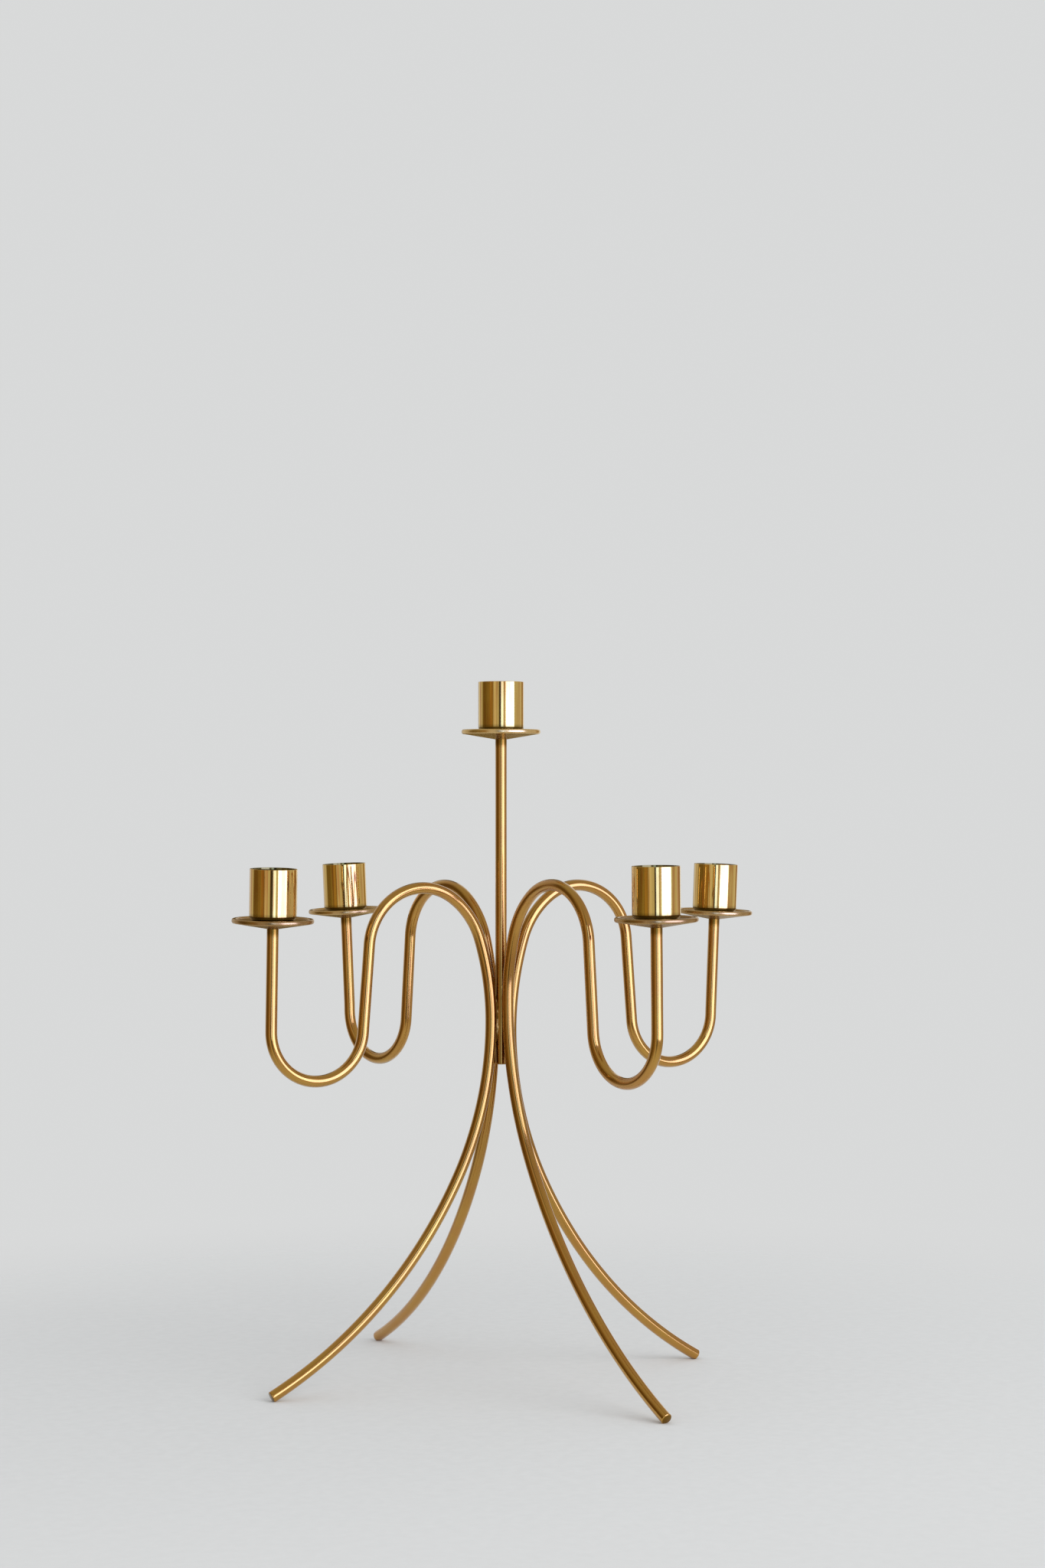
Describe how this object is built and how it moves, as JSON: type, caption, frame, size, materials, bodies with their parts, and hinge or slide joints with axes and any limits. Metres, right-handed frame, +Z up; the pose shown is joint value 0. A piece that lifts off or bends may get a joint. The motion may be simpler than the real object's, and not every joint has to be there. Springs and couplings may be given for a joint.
{
  "type": "tabletop candelabra",
  "caption": "Tabletop candelabra of bent round brass rods brazed round a straight stem; legs, arches and U-shaped arms carry dished drip pans and plain cylindrical candle cups.",
  "frame": {"origin": "on the table, under the centre stem", "axes": "+Z up, +X along the right arm, +Y along the back arm"},
  "size_m": [0.3102, 0.3046, 0.3673],
  "materials": {
    "rod_brass": "satin, lightly mottled round bar with a warm gold-brown tone",
    "braze": "pale matt filler metal",
    "pan_brass": "browned, speckled and tarnished sheet",
    "cup_brass": "polished drawn sheet with fine specks",
    "screw_brass": "turned, plain"
  },
  "bodies": {
    "root": {"rod_right": "rod_brass", "rod_back": "rod_brass", "rod_left": "rod_brass", "rod_front": "rod_brass", "centre_stem": "rod_brass", "braze_right": "braze", "braze_back": "braze", "braze_left": "braze", "braze_front": "braze", "drip_pan_right": "pan_brass", "drip_pan_back": "pan_brass", "drip_pan_left": "pan_brass", "drip_pan_front": "pan_brass", "drip_pan_top": "pan_brass", "candle_cup_right": "cup_brass", "candle_cup_back": "cup_brass", "candle_cup_left": "cup_brass", "candle_cup_front": "cup_brass", "candle_cup_top": "cup_brass", "cup_screw_right": "screw_brass", "cup_screw_back": "screw_brass", "cup_screw_left": "screw_brass", "cup_screw_front": "screw_brass", "cup_screw_top": "screw_brass"}
  },
  "joints": []
}
